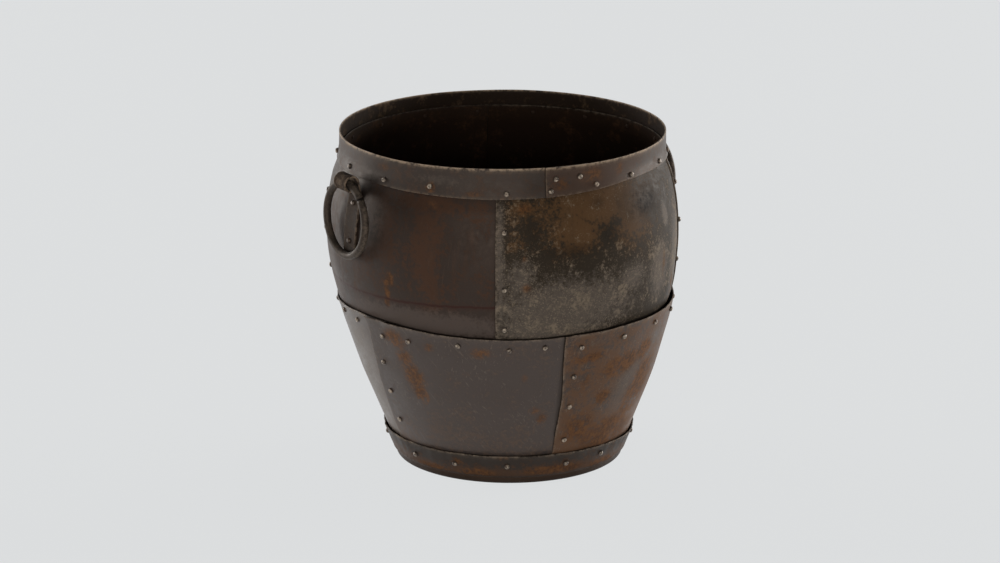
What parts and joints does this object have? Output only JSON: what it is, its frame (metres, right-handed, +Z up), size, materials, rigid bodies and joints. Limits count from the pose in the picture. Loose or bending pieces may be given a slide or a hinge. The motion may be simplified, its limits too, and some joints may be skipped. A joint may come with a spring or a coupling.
{
  "type": "riveted iron planter",
  "caption": "Round floor planter of lapped and riveted iron sheets, bellied above and tapered below, with a rim band, a beaten base pan and hinged ring handles",
  "frame": {"origin": "on the floor, under the middle of the pot's outer box", "axes": "+Z up, handles on the X axis; the side that the picture shows faces the bearing 32.5 degrees from -Y towards -X"},
  "size_m": [0.482, 0.4498, 0.428],
  "materials": {
    "upper_sheet": "bare rolled sheet, mottled brown and ochre patina",
    "lower_sheet": "bare rolled sheet, dark with rust patches",
    "rim_band": "bare sheet, dark with a worn bright top edge",
    "base_pan": "beaten sheet, dark with rust near the floor",
    "strap": "bare flat bar, dark brown",
    "ring": "bare round bar, dark brown, worn",
    "rivet": "hammered heads, dark with worn crowns"
  },
  "bodies": {
    "pot": {"upper_panel_front_left": "upper_sheet", "upper_panel_front_right": "upper_sheet", "upper_panel_back_right": "upper_sheet", "upper_panel_back_left": "upper_sheet", "lower_panel_front": "lower_sheet", "lower_panel_right": "lower_sheet", "lower_panel_back": "lower_sheet", "lower_panel_left": "lower_sheet", "rim_band": "rim_band", "base_pan": "base_pan", "handle_strap_left": "strap", "handle_strap_right": "strap", "rim_rivets": "rivet", "rim_lap_rivets": "rivet", "upper_seam_rivets": "rivet", "waist_rivets": "rivet", "lower_seam_rivets": "rivet", "base_rivets": "rivet", "strap_rivets_left": "rivet", "strap_rivets_right": "rivet"},
    "left_ring": {"ring_handle_left": "ring"},
    "right_ring": {"ring_handle_right": "ring"}
  },
  "joints": [
    {"name": "left_ring_swing", "type": "hinge", "parent": "pot", "child": "left_ring", "pos_m": [-0.23, 0, 0.38821], "axis": [0, 1, 0], "range_deg": [0, 203]},
    {"name": "right_ring_swing", "type": "hinge", "parent": "pot", "child": "right_ring", "pos_m": [0.23, 0, 0.38821], "axis": [0, -1, 0], "range_deg": [0, 203]}
  ]
}
